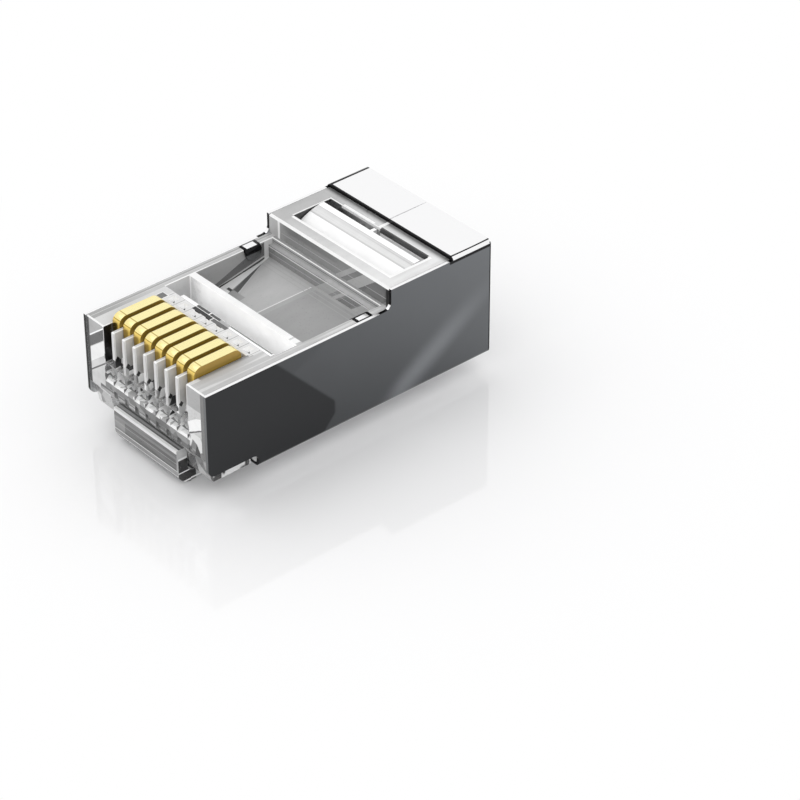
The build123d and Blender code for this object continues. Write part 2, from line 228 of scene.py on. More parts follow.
class Graph:
    """One material's nodes."""

    def __init__(self, name):
        self.material = bpy.data.materials.new(name)
        self.material.use_nodes = True
        self.material.cycles.emission_sampling = "NONE"
        self.tree = self.material.node_tree
        self.tree.nodes.clear()
        self.output = self.tree.nodes.new("ShaderNodeOutputMaterial")

    def set(self, socket, value):
        """Links a value to a socket, or sets the socket to a constant."""
        if isinstance(value, Value):
            value = value.socket
        if isinstance(value, bpy.types.NodeSocket):
            self.tree.links.new(value, socket)
        elif hasattr(value, "__len__") and len(socket.default_value) == 4:
            socket.default_value = (*value[:3], 1.0)
        else:
            socket.default_value = value

    def add(self, kind, settings=None, inputs=None, output=0):
        """Adds a node: its settings first, then the values or links of its sockets."""
        node = self.tree.nodes.new(kind)
        for name, value in (settings or {}).items():
            setattr(node, name, value)
        for name, value in (inputs or {}).items():
            self.set(node.inputs[name], value)
        found = node.outputs[output]
        return Value(self, found) if found.type == "VALUE" else found

    def place(self):
        """The place on the piece in metres, as the row frame has it."""
        return self.add("ShaderNodeTexCoord", output="Object")

    def split(self, vector):
        """The three parts of a vector."""
        node = self.add("ShaderNodeSeparateXYZ", inputs={0: vector}).socket.node
        return [Value(self, output) for output in node.outputs]

    def axes(self):
        """Place on the piece in millimetres: across, back from the nose, and up."""
        x, y, z = self.split(self.place())
        return x * MM, (y - NOSE) * MM, (z - FLOOR_PLATE) * MM

    def facing(self):
        """The surface's direction: across, back and up."""
        return self.split(self.add("ShaderNodeNewGeometry", output="Normal"))

    def stretched(self, stretch):
        """The place in millimetres, times a share along each axis."""
        scale = [share * MM for share in stretch]
        return self.add("ShaderNodeMapping", inputs={0: self.place(), "Scale": scale})

    def noise(self, scale, detail=2.0, stretch=(1, 1, 1), roughness=0.5):
        """Smooth noise from 0 to 1; scale is in cycles per millimetre."""
        inputs = {"Vector": self.stretched(stretch), "Scale": scale, "Detail": detail, "Roughness": roughness}
        return self.add("ShaderNodeTexNoise", {"noise_dimensions": "3D"}, inputs)

    def shards(self, scale, stretch):
        """A value from 0 to 1 for each straight-edged cell; scale is in cells per millimetre."""
        inputs = {"Vector": self.stretched(stretch), "Scale": scale}
        cells = self.add("ShaderNodeTexVoronoi", {"feature": "F1"}, inputs, output="Color")
        return self.split(cells)[0]

    def mix(self, share, low, high):
        """A colour from low to high."""
        inputs = {"Factor": share, 6: low, 7: high}
        return self.add("ShaderNodeMix", {"data_type": "RGBA"}, inputs, output=2)

    def bump(self, height, strength):
        """A normal that follows a height from 0 to 1."""
        inputs = {"Height": height, "Strength": strength, "Distance": BUMP_DEPTH}
        return self.add("ShaderNodeBump", inputs=inputs)

    def principled(self, **inputs):
        """A Principled shader; an underscore in an input's name stands for a space."""
        named = {name.replace("_", " "): value for name, value in inputs.items()}
        return self.add("ShaderNodeBsdfPrincipled", inputs=named)

    def finish(self, shader):
        """The material, with this shader on its surface."""
        self.set(self.output.inputs["Surface"], shader)
        return self.material


# Finishes, with painted light and shade.

# A tone runs from 0 for black to 1 for white, and a milky share from 0 for clear
# to 1 for opaque. Most tones and colours are painted light and shade: highlights,
# glints, reflections, refracted patterns and shadows. Places are in millimetres.
# Later layers cover earlier ones, and in the functions that lay them, c is the
# finish that is being painted.


def grey(tone):
    """A neutral colour."""
    return (tone, tone, tone)


class Clear:
    """Clear moulded polycarbonate. Each region gets a tone and a milky share, and
    the rest of the light goes through. The tones are painted light and shade:
    highlights, glints, reflections, refracted patterns and shadows."""

    # Tones of the painted glints.
    GLINT_BASE = 0.04
    # Cells above the first number of a step are lighter by its second.
    GLINT_STEPS = ((0.18, 0.22), (0.42, 0.32), (0.62, 0.40))

    def __init__(self, name, look, tone, share, bump=0.03):
        self.g = g = Graph(name)
        self.look = look
        self.across, self.back, self.up = g.axes()
        self.nx, self.ny, self.nz = g.facing()
        self.top = self.nz.rises(*LEVEL)
        self.rim = self.nz.rises(*SLOPING) * (1 - self.top)
        self.front = (self.ny * -1).above(SQUARE)
        self.side = self.nx.size().above(SQUARE)
        self.flow = g.noise(1.1, 3.0, (1.0, 0.45, 1.5))
        self.fine = g.noise(8.0, 3.0)
        # Painted glints: cells of light and dark in place of light broken up in the plastic.
        shard = g.shards(1.9, (1.0, 1.0, 0.7))
        self.glints = self.GLINT_BASE
        for least, more in self.GLINT_STEPS:
            self.glints = self.glints + shard.above(least) * more
        self.colour = tone
        self.share = share
        # Painted glow: the plastic emits a little light where the lamps reach too little.
        self.glow = 0.0
        self.normal = g.bump(self.flow * 0.6 + self.fine * 0.4, bump)

    def box(self, across=None, back=None, up=None):
        """1 inside a box of places; an axis without ends has no limit."""
        found = None
        for value, ends in ((self.across, across), (self.back, back), (self.up, up)):
            if ends:
                part = value.within(*ends)
                found = part if found is None else found * part
        return found

    def lay(self, mask, tone, share):
        """Lays a tone over a region, with its milky share."""
        tone = grey(tone) if isinstance(tone, float) else tone
        if isinstance(tone, Value):
            tone = self.g.mix(tone.clamped(), BLACK, WHITE)
        self.colour = self.g.mix(mask, self.colour, tone)
        self.share = mask * (share - self.share) + self.share

    def finish(self):
        """The material: a clear and a milky shader, mixed by the milky share."""
        g = self.g
        glass = g.principled(
            Base_Color=self.look.clear_tint,
            Roughness=0.02 + 0.04 * self.flow,
            IOR=CLEAR_IOR,
            Transmission_Weight=1.0,
            Normal=self.normal,
        )
        milky = g.principled(
            Base_Color=self.colour,
            Roughness=0.22 + 0.16 * self.fine,
            Emission_Color=g.mix(self.glow, BLACK, WHITE),
            Emission_Strength=1.0,
            Normal=self.normal,
        )
        share = (self.share * (0.9 + 0.2 * self.flow)).clamped()
        return g.finish(g.add("ShaderNodeMixShader", inputs={0: share, 1: glass, 2: milky}))


def lay_rails(c):
    """Level tops of the rails, the comb and the cross wall, with a painted
    shadow beside the last contact.
    """
    g = c.g
    high = c.top * c.up.within(*RAIL_TOP)
    c.lay(high, 0.76 + c.fine * 0.06, 0.80)
    left = high * c.across.below(-5.0)
    c.lay(left, 0.64 - c.back.rises(4.0, 1.0) * 0.20, 0.78)
    c.lay(left * c.across.within(-5.50, -5.36), 0.44, 0.78)
    c.lay(left * c.across.within(-5.36, -5.32), 0.80, 0.80)
    c.lay(high * c.box((-5.1, 5.1), (7.30, 7.92)), 0.95, 0.94)
    # Painted shadow on the right rail beside the last contact, darkest next to it.
    beside = high * c.box((3.9, 4.4), (0.9, 4.8))
    c.lay(beside, 0.58 - c.across.rises(4.4, 4.0) * 0.38, 0.85)
    c.lay(high * c.across.above(4.3) * g.noise(1.0, 2.0, (1.6, 0.05, 1.0)).rises(0.50, 0.56), 0.58, 0.82)


def lay_nose(c):
    """Blocks beside the comb, with painted slanting bands of highlight and shade,
    painted glints low on the right, and dark outer edges.
    """
    face = c.front * c.back.below(0.12) * c.up.above(1.9)
    left = face * c.across.below(-3.97)
    slant = c.up - (c.across + 5.8) * 0.78
    c.lay(left, 0.62 + c.flow * 0.30, 0.80)
    c.lay(left * slant.above(5.0), 0.52, 0.72)
    c.lay(left * slant.within(4.22, 4.98), 0.10, 0.85)
    c.lay(left * slant.within(4.98, 5.10), 0.95, 0.95)
    c.lay(left * slant.within(3.15, 4.15), 0.93, 0.92)
    c.lay(left * slant.within(2.5, 2.62), 0.12, 0.85)
    c.lay(left * c.across.below(-5.42), 0.05, 0.90)
    right = face * c.across.above(3.97)
    slant = c.up - (c.across - 4.0) * 0.62 + c.flow * 0.5
    c.lay(right, 0.58 + c.fine * 0.30, 0.78)
    c.lay(right * c.up.above(5.2), 0.47, 0.78)
    c.lay(right * c.up.below(3.4), c.glints * 0.85, 0.88)
    c.lay(right * slant.within(3.5, 4.3), 0.95, 0.95)
    c.lay(right * slant.within(3.38, 3.5), 0.10, 0.85)
    c.lay(right * c.across.above(5.24), 0.19, 0.88)


def lay_comb(c):
    """Ribs between the contacts, with painted highlights, glints and shade, and
    the first slot's side painted black as shade.
    """
    comb = c.box(*COMB)
    c.lay(comb, 0.46 + c.up.rises(4.6, 6.5) * 0.20 + c.flow * 0.18, 0.78)
    # Painted highlight: paler front faces and a thin white line on the sides near the front; painted glints
    # at the lower ends.
    c.lay(comb * c.front, 0.74, 0.86)
    c.lay(comb * c.side * c.back.within(0.08, 0.16), 0.92, 0.90)
    c.lay(comb * c.up.below(4.68), c.glints, 0.88)
    # Painted shade: black arches on the sides of the ribs.
    arch = (c.back - 0.24).size() + (c.up - 4.74).size() * 0.8
    c.lay(comb * c.side * arch.below(0.17), 0.01, 0.96)
    # Painted shade on the first slot's wall: black at the front, dark grey further back.
    first = c.across.within(-4.02, -3.93) * c.side
    c.lay(first * c.back.below(4.6) * c.up.within(4.1, 6.6), 0.10 + c.back.rises(0.6, 1.4) * 0.2, 0.90)
    c.lay(first * c.back.below(0.62) * c.up.within(4.1, 6.6), 0.002, 0.98)
    # A row of small wells behind the comb, one for each contact, each with a
    # painted dark dot of shade in its deepest corner.
    wells = c.box(*WELLS)
    place = (c.across + CONTACT_COUNT / 2 * PITCH).math("FLOORED_MODULO", PITCH)
    c.lay(wells, 0.90 - c.fine * 0.2, 0.90)
    corner = (place - 0.70).size() + (c.back - 4.86)
    c.lay(wells * corner.below(0.10) * c.back.above(4.72) * c.up.above(6.5), 0.03, 0.92)
    c.lay(wells * place.below(0.05), 0.45, 0.85)
    # The dark square at the left end of the wells.
    dark = c.top * c.box((-4.64, -4.02), (4.40, 5.02), (6.5, 6.7))
    c.lay(dark, 0.92, 0.90)
    c.lay(dark * c.box((-4.58, -4.08), (4.46, 4.96)), 0.10 + c.flow * 0.1, 0.90)


def lay_chin(c):
    """Channel mouths, shelves and teeth under the comb, with painted glints,
    white painted highlights on the shelves and black painted shade in the channels.
    """
    chin = c.box(*CHIN)
    c.lay(chin, 0.22 + c.fine * 0.10, 0.62)
    c.lay(chin * c.up.below(2.75), 0.14 + c.glints * 0.18, 0.82)
    # Painted light on the faces deep in the gaps between the teeth, which sit in shade.
    c.lay(chin * c.up.below(2.5) * c.back.above(0.24), 0.42, 0.85)
    # Painted highlights: white shelf tops and fronts, with darker spots where the glints are dark.
    c.lay(chin * c.top * c.up.above(2.9), 1.0 - c.glints.below(0.3) * 0.5, 0.96)
    c.lay(chin * c.front * c.up.within(2.72, 2.99), 0.97 - c.glints.below(0.3) * 0.6, 0.94)
    tubes = c.box(*TUBES) * (1 - c.front)
    c.lay(tubes, c.glints, 0.80)
    # Painted black shade in the channels just behind their mouths.
    c.lay(tubes * c.back.within(0.62, 1.1), 0.004, 0.95)
    lines = c.box(*LIP) * c.front
    c.lay(lines, 0.20 + c.g.noise(1.0, 1.0, (0.2, 0.2, 5.0)).rises(0.5, 0.6) * 0.35, 0.62)
    ends = c.box(*CHIN_ENDS) * c.across.size().above(4.1)
    line = c.up + c.across * 0.35 + c.back * 0.35
    c.lay(ends, 0.22 + c.glints * 0.35, 0.85)
    # Painted highlight: a white slanting line across the ends.
    c.lay(ends * line.within(0.10, 0.20), 0.95, 0.95)


def lay_pocket(c):
    """Pocket of the wire clamp, painted bright inside, with a painted glow."""
    pocket = c.box(*POCKET)
    cloud = c.g.noise(2.2, 4.0, roughness=0.7)
    c.lay(pocket, 0.86 + cloud * 0.16, 0.97)
    # Painted glow: the pocket emits a little light, less towards its left end, in place of light the lamps
    # don't bring in.
    c.glow = c.glow + pocket * (0.15 - c.across.rises(-3.0, -5.0) * 0.06)
    c.lay(pocket * c.side * c.across.below(0.0), 0.50, 0.90)
    c.lay(pocket * c.front, 1.02 - c.across.rises(-3.6, -4.9) * 0.30 - cloud.rises(0.45, 0.62) * 0.10, 0.97)
    c.lay(pocket * c.front * c.across.below(-4.93), 1.0, 1.0)


def lay_recess(c):
    """Recess: walls, sloping floor with its facets, and the ledge behind."""
    inner = c.box(*RECESS)
    # Left wall: grey, with a dark band that widens towards the rear.
    upper = c.up - (c.back - 9.53) * 0.37 - 5.22
    lower = c.up - (c.back - 10.0) * 0.20 - 4.99
    wall = inner * c.side
    c.lay(wall, 0.16 + upper.above(0.0) * 0.28, 0.84)
    for low, high, shade in ((-1.0, -0.25, 0.62), (-0.25, -0.12, 0.07), (-0.12, 0.0, 0.62)):
        c.lay(wall * lower.within(low, high), shade, 0.85)
    c.lay(wall * c.back.above(13.15), 0.80, 0.88)
    # Floor: darker to the right of its seam, with a few level lines at the rear.
    floor = inner * c.top * c.up.below(5.5)
    seam = c.across + 1.22 - (c.back - 9.9) * 0.152
    tone = 0.56 - seam.above(0.0) * 0.10 - seam.above(0.42) * 0.05
    c.lay(floor, tone + c.fine * 0.02, 0.76)
    c.lay(floor * seam.within(-0.04, 0.05), 0.78, 0.88)
    for start, wide in ((12.72, 0.05), (13.02, 0.05), (13.28, 0.22)):
        c.lay(floor * c.back.within(start, start + wide), 0.48, 0.80)
    # Two slender facets that meet in the rear left corner, painted on the level
    # floor as lit and shaded strips, and two small marks.
    facet = (c.across + 5.08) / ((13.36 - c.back) * 0.4226)
    for low, high, shade in ((-1.0, 0.66, 0.33), (0.66, 0.96, 0.10), (0.96, 1.02, 0.62)):
        c.lay(floor * facet.within(low, high), shade, 0.86)
    facet = (c.across + 5.08) / ((13.75 - c.back) * 0.25)
    for low, high, shade in ((-1.0, 0.14, 0.03), (0.14, 0.90, 0.84)):
        c.lay(floor * facet.within(low, high), shade, 0.90)
    c.lay(floor * c.box((-4.55, -4.15), (9.72, 9.92)), 0.06, 0.90)
    c.lay(floor * c.box((-4.1, -3.0), (9.5, 9.95)), 0.40, 0.80)
    # Rear wall and ledge, with lighter and darker panels towards the right.
    slant = c.across - (c.up - 5.6) * 1.3
    wall = inner * c.front
    tone = 0.23 + c.fine * 0.06
    panels = ((-0.3, 0.9, 0.20), (0.9, 1.25, 0.05), (1.25, 1.6, 0.30), (1.8, 3.0, -0.08), (3.1, 4.8, 0.30))
    for low, high, more in panels:
        tone = tone + slant.within(low, high) * more
    c.lay(wall, tone, 0.80)
    c.lay(wall * c.up.within(6.10, 6.20), 0.80, 0.85)
    c.lay(wall * c.up.within(5.72, 5.76), 0.50, 0.80)
    c.lay(wall * c.up.above(6.25), 0.42, 0.80)
    c.lay(wall * c.up.within(6.42, 6.46), 0.06, 0.85)
    c.lay(inner * c.top * c.up.above(6.0), 0.50 + c.across.above(0.3) * 0.08, 0.80)
    c.lay(c.top * c.box(*RECESS_REAR), 0.36, 0.80)


def lay_block(c):
    """Raised block: front face, level top and the walls of its window, with
    painted light and shade.
    """
    face = c.box(*BLOCK_FACE) * c.front
    slant = c.across - (c.up - 6.8) * 1.3
    tone = 0.22 + c.across.rises(-3.9, -4.6) * 0.12 + c.fine * 0.05
    for low, high, more in ((0.86, 1.38, 0.18), (1.38, 1.92, -0.07), (1.92, 3.0, 0.22), (3.0, 5.2, -0.13)):
        tone = tone + slant.within(low, high) * more
    c.lay(face, tone, 0.80)
    c.lay(face * c.up.within(7.12, 7.17), 0.42, 0.80)
    c.lay(face * c.across.below(-4.78), 0.55, 0.80)
    c.lay(face * c.across.within(-4.80, -4.60), 0.92, 0.90)
    # Painted black shade on the corner beside the step, which widens the sheet's dark edge.
    c.lay(c.box(*BLOCK_CORNER), 0.005, 0.97)
    # The top is painted with the collar's shadow, darkening towards the collar,
    # and has white lines round the window, painted as highlights.
    roof = c.top * c.up.within(*ROOF_TOP)
    c.lay(roof, 0.66 + c.across * 0.030 + c.flow * 0.08, 0.82)
    shade = c.back.rises(18.25, 18.8)
    c.lay(roof * shade, 0.66 - shade * 0.5, 0.88)
    for across, back in (
        ((-4.45, 4.62), (14.86, 15.08)),
        ((4.58, 4.80), (14.86, 18.20)),
        ((-3.4, -0.5), (18.14, 18.28)),
        ((-0.10, 0.14), (18.10, 18.90)),
    ):
        c.lay(roof * c.box(across, back), 0.97, 0.95)
    # The window's walls: the rear wall painted dark with shade, lighter towards the middle, with a light
    # strip along its top on the left and black above white on the right; the left side painted dark with
    # shade, the right side pale with painted light.
    window = c.box(*WINDOW) * (1 - c.top)
    rear = window * c.front
    c.lay(rear, 0.05 + c.across.rises(-3.8, -0.3) * 0.28, 0.94)
    c.lay(rear * c.box((-3.5, 0.12), None, (7.78, 7.94)), 0.88, 0.94)
    c.lay(rear * c.across.above(0.12), 0.03, 0.96)
    c.lay(rear * c.across.above(0.12) * c.up.below(7.66), 0.95, 0.96)
    c.lay(window * c.side * c.across.below(0.0), 0.04, 0.92)
    c.lay(window * c.side * c.across.above(0.0), 0.90, 0.92)


def lay_lugs(c):
    """Clear lugs in the shield's open lower edges, with painted glints."""
    lug = c.box(*LUGS) * c.across.size().above(5.2)
    glint = c.g.noise(1.6, 1.0, (1.0, 1.0, 0.6)).rises(0.46, 0.54)
    c.lay(lug, 0.04 + glint * 0.85, 0.75)


def clear_housing(look):
    """The housing: pale rails and comb, grey recess and block, white rims painted as highlights."""
    c = Clear("clear housing", look, grey(0.5), 0.25)
    c.lay(c.front, 0.42, 0.35)
    c.lay(c.side, 0.40, 0.30)
    for lay in (lay_rails, lay_nose, lay_comb, lay_chin, lay_pocket, lay_recess, lay_block, lay_lugs):
        lay(c)
    # Rounded rims are painted white as highlights, but for the slot behind the
    # cable clamp, painted black as shade, and the dashes along the pocket's front edge.
    c.lay(c.rim * c.up.above(2.4), 0.98, 0.92)
    c.lay(c.box(*WINDOW_SLOT), 0.03, 0.96)
    dashes = c.box(*POCKET_EDGE)
    for low, high, shade in ((-2.07, -0.38, 0.004), (-0.29, 1.10, 0.12)):
        c.lay(dashes * c.across.within(low, high), shade, 0.96)
    return c.finish()


def clear_latch(look):
    """The latch: clear, with level bands of grey, a painted black shadow on its
    right side, and painted highlights along its edges.
    """
    c = Clear("clear latch", look, grey(0.42), 0.35)
    streaks = c.g.noise(0.8, 2.0, (0.25, 1.0, 3.0)).rises(0.45, 0.60)
    c.lay(c.front, 0.17 + streaks * 0.10, 0.78)
    panel = c.across.within(-2.0, 2.95) * c.up.within(0.02, 0.78)
    c.lay(c.front * c.up.within(0.05, 0.98), 0.24 - panel * 0.13 + streaks * 0.07, 0.82)
    c.lay(c.front * c.up.within(-0.80, -0.02), 0.30 + streaks * 0.10, 0.78)
    bands = ((1.22, 1.50, 0.86), (0.50, 0.53, 0.40), (-0.04, 0.02, 0.80), (-0.46, -0.38, 0.80))
    for low, high, shade in bands:
        c.lay(c.front * c.up.within(low, high), shade, 0.88)
    right = c.side * c.across.above(0.0)
    c.lay(right, 0.55 + c.flow * 0.3, 0.75)
    # Painted black shadow low at the front of the right side.
    c.lay(right * c.box(None, (-0.3, 1.2), (-1.2, 0.72)), 0.02, 0.90)
    # Painted highlights: white lines along the right side.
    for low, high in ((-0.28, -0.20), (0.68, 0.82), (-1.0, -0.88)):
        c.lay(right * c.up.within(low, high), 0.95, 0.92)
    c.lay(right * c.back.within(-0.22, -0.10), 0.60, 0.85)
    ridges = c.g.noise(1.0, 1.0, (0.05, 6.0, 1.0)).rises(0.48, 0.56)
    c.lay(c.top, 0.14 + ridges * 0.28, 0.78)
    # Painted highlights: the front of the top and the rounded rims.
    c.lay(c.top * c.back.below(-0.02), 0.92, 0.92)
    c.lay(c.rim, 0.95, 0.92)
    return c.finish()


def milky_bars(look):
    """The clamp bars: white, with fine grey lines along them, a painted band of
    shade on the cable bar, painted highlights on the rims and a faint painted glow.
    """
    c = Clear("milky bars", look, grey(0.88), 0.86, 0.04)
    lines = c.g.noise(1.0, 3.0, (0.03, 9.0, 2.0)).rises(0.50, 0.62)
    over = c.nz.above(0.3)
    c.lay(over, 1.0 - lines * 0.04, 0.99)
    # Painted shade: a grey band across the top of the cable bar.
    c.lay(over * c.back.within(16.35, 17.05), 0.68 - lines * 0.14, 0.95)
    c.lay(over * c.back.within(15.20, 15.27), 0.55, 0.92)
    # A broken dark line along the rear of the wire bar's top.
    rear = over * c.back.within(6.20, 6.32)
    c.lay(rear * c.across.within(0.30, 4.20), 0.10, 0.95)
    c.lay(over * c.box((-0.61, 0.30), (5.90, 6.32)), 0.40, 0.92)
    dashes = over * c.back.within(6.08, 6.32)
    for low, high in ((-2.81, -1.62), (-1.53, -0.61)):
        c.lay(dashes * c.across.within(low, high), 0.006, 0.96)
    c.lay(c.side, 0.70, 0.85)
    # Painted glow: the tops emit a little light.
    c.glow = over * 0.05
    # Painted highlights on the rounded rims of the tops.
    c.lay(c.rim * c.top, 1.0, 0.95)
    return c.finish()


def side_plate(g, across, back, up, look):
    """The right side plate, painted with its reflection: a dark field in front,
    and a painted highlight streak up towards the rear.
    """
    cloud = g.noise(0.22)
    # The dark field of painted reflection ends at a slanting line above and a blunt
    # corner behind.
    corner = (back - 5.38) * 0.722 + (up - 6.48) * 0.692
    lower = (9.60 - back) + (up - 1.2).at_most(0.0) * 0.9
    field = (corner * -1).rises(-0.12, 0.12) * lower.rises(-0.12, 0.12)
    # Outside the field, the painted reflection lightens towards the rear and the top, with a painted
    # highlight streak, and is slightly darker towards the upper front.
    tone = back * 0.0042 + (up - 4.0) * 0.005 + 0.052 + cloud * 0.016
    beside = (back - 13.9) - (up * 1.5)
    streak = beside.between(-0.4, 0.6, 2.0) * up.rises(6.2, 0.8) * back.rises(12.5, 15.0)
    near = ((back - 6.5) * 0.40 - (up - 5.5) * 0.92).rises(-0.1, 0.3)
    tone = tone + streak * 0.27 - (1 - near) * 0.010
    plain = g.mix(tone.clamped(), BLACK, SIDE_BRIGHT)
    return g.mix(field, plain, look.sheet_dark)


def sheet_metal(look):
    """Bright plated sheet, painted with its reflections: white on top, dark on
    the sides, black on the cut edges.
    """
    g = Graph("plated sheet")
    across, back, up = g.axes()
    nx, ny, nz = g.facing()
    grain = g.noise(3.0, 3.0, (1.0, 0.12, 1.0))
    cloud = g.noise(0.18)
    # The left side plate is painted dark with a painted sheen that grows towards the rear and the top;
    # side_plate paints the right one's reflection, and the inner faces are painted pale, as painted light
    # that lightens the clear plastic in front of them.
    shine = (back * 0.030 + up * 0.03 + cloud * 0.5 - 0.15).clamped()
    left = g.mix(shine, look.sheet_left, look.sheet_sheen)
    side = g.mix(nx.rises(-0.5, 0.5), left, side_plate(g, across, back, up, look))
    side = g.mix(across.size().above(SIDE_OUTSIDE), look.sheet_inner, side)
    # Level faces are painted white as a painted highlight.
    top = nz.size().rises(0.90, 0.97)
    shown = g.mix(top, side, look.sheet_top)
    # Cut edges, painted as dark reflections: black at the step, dark at the nose,
    # and lighter on the right.
    cut = (ny * -1).rises(0.5, 0.8)
    shown = g.mix(cut, shown, look.sheet_cut)
    shown = g.mix(cut * back.below(1.0) * across.above(0.0), shown, look.sheet_edge)
    # The collar, painted with its reflections: black along its front and its left
    # fold, a white band of painted highlight between two black lines on the right
    # fold, a black rear edge on the right, and the seam painted white, as painted
    # light over the seam's shade.
    collar = back.above(COLLAR_FRONT) * up.above(COLLAR_LOW)
    shown = g.mix(collar * nz.within(-0.2, 0.965), shown, look.sheet_cut)
    shown = g.mix(collar * nz.within(0.34, 0.86) * nx.above(0.0), shown, look.sheet_top)
    shown = g.mix(collar * across.below(COLLAR_FOLD), shown, look.sheet_cut)
    shown = g.mix(back.above(REAR_EDGE) * nx.above(0.8), shown, look.sheet_cut)
    shown = g.mix(collar * back.below(19.0) * nz.above(-0.5), shown, look.sheet_cut)
    shown = g.mix(collar * across.size().below(0.12) * back.above(19.0), shown, look.sheet_top)
    # The step's edge: painted black as a dark reflection, with two painted glints.
    step = back.within(*STEP_BACK) * up.within(*STEP_UP) * across.size().above(5.4) * nx.size().below(0.8)
    shown = g.mix(step, shown, look.sheet_cut)
    glint = back.within(13.0, 13.16) + back.within(13.78, 14.0) * up.below(6.98)
    shown = g.mix(step * glint, shown, look.sheet_top)
    # Hook tabs: a painted white highlight on top, the tongue and outline painted
    # black as dark reflection, and the tongue's lower part dark grey.
    hook = back.within(*HOOK_BACK) * across.size().below(5.62) * up.above(HOOK_UP)
    shown = g.mix(hook, shown, look.sheet_cut)
    inside = across.within(*HOOK_HIGHLIGHT_LEFT) + across.within(*HOOK_HIGHLIGHT_RIGHT)
    inside = inside * back.within(*HOOK_HIGHLIGHT_BACK) * nz.above(0.8)
    shown = g.mix(hook * inside, shown, look.sheet_top)
    shown = g.mix(hook * up.below(TONGUE_TOP), shown, look.sheet_low)
    normal = g.bump(grain, 0.05)
    return g.finish(
        g.principled(
            Base_Color=shown,
            Metallic=0.85,
            Roughness=0.16 + 0.10 * grain,
            Normal=normal,
        )
    )


def gold_plate(look):
    """Gold flash on the contacts, with painted light and shade: pale on top where
    light falls, and deep between them where shade falls.
    """
    g = Graph("gold flash")
    across, back, up = g.axes()
    nx, _, nz = g.facing()
    grain = g.noise(6.0, 2.0, (1.0, 0.15, 1.0))
    side = nx.size().rises(0.5, 0.9)
    # Painted light and shade by facing: darker where the ends face down, a thin dark line and a painted
    # highlight band where they turn up, dark sides where shade falls between the contacts, the last contact's
    # outer side lighter above, and pale level tops where light falls.
    shown = g.mix(nz.rises(-0.1, 0.45), look.gold_low, look.gold_end)
    shown = g.mix(nz.within(0.50, 0.58), shown, look.gold_low)
    shown = g.mix(nz.above(0.58), shown, look.gold_band)
    outer = nx.above(0.5) * across.above(3.8)
    shown = g.mix(side, shown, g.mix(outer, look.gold_side, look.gold_outer))
    shown = g.mix(outer * up.rises(7.0, 6.6), shown, look.gold_side)
    shown = g.mix(nz.rises(0.90, 0.98), shown, look.gold_top)
    # Painted shade in the crease where the level top begins.
    crease_shade = back.between(1.22, 1.30, 0.03) * nz.above(0.5)
    shown = g.mix(crease_shade * 0.75, shown, look.gold_low)
    normal = g.bump(grain, 0.03)
    return g.finish(
        g.principled(
            Base_Color=g.mix(grain * 0.06, shown, look.gold_side),
            Metallic=1.0 - side * 0.5,
            Roughness=0.20 + 0.10 * grain,
            Normal=normal,
        )
    )


def pale_floor(look):
    """Pale satin floor that fades to white away from the plug."""
    g = Graph("pale floor")
    x, y = (value * MM for value in g.split(g.place())[:2])
    x, y = (value - middle for value, middle in zip((x, y), FADE_MIDDLE))
    away = ((x * x) + (y * y)) ** 0.5
    speck = g.noise(0.05)
    floor = g.principled(
        Base_Color=g.mix(speck * 0.3, look.floor_colour, FLOOR_SPECK),
        Roughness=0.06,
        IOR=FLOOR_IOR,
    )
    white = g.add("ShaderNodeEmission", inputs={"Color": WHITE, "Strength": 1.0})
    share = away.rises(*FLOOR_FADE)
    return g.finish(g.add("ShaderNodeMixShader", inputs={0: share, 1: floor, 2: white}))


# Piece helpers.


def deselect():
    """Leaves edit mode and selects nothing."""
    if bpy.context.object and bpy.context.object.mode != "OBJECT":
        bpy.ops.object.mode_set(mode="OBJECT")
    bpy.ops.object.select_all(action="DESELECT")


def rounded_copy(node, name, width, material):
    """A copy of a CAD node with its edges rounded, in the node's own place."""
    deselect()
    source = frame["nodes"][node]
    piece = bpy.data.objects.new(name, source.data.copy())
    bpy.context.scene.collection.objects.link(piece)
    bpy.context.view_layer.objects.active = piece
    piece.select_set(True)
    piece.data.materials.clear()
    piece.data.materials.append(material)
    bpy.ops.mesh.customdata_custom_splitnormals_clear()
    bpy.ops.object.mode_set(mode="EDIT")
    bpy.ops.mesh.select_all(action="SELECT")
    bpy.ops.mesh.remove_doubles(threshold=WELD)
    bpy.ops.mesh.dissolve_limited(angle_limit=FLAT)
    bpy.ops.object.mode_set(mode="OBJECT")
    bevel = piece.modifiers.new("edges", "BEVEL")
    bevel.width = width
    bevel.segments = BEVEL_SEGMENTS
    bevel.limit_method = "ANGLE"
    bevel.angle_limit = SHARP
    bevel.use_clamp_overlap = True
    bpy.ops.object.modifier_apply(modifier=bevel.name)
    bpy.ops.object.shade_smooth_by_angle(angle=SMOOTH)
    even = piece.modifiers.new("level normals", "WEIGHTED_NORMAL")
    even.keep_sharp = True
    bpy.ops.object.modifier_apply(modifier=even.name)
    body = source["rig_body"]
    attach(piece, body)
    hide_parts(node)
    return piece


# Settings.


def tint(name, description, colour):
    """A colour that can be set in the panel."""
    return FloatVectorProperty(name=name, description=description, default=colour, subtype="COLOR")


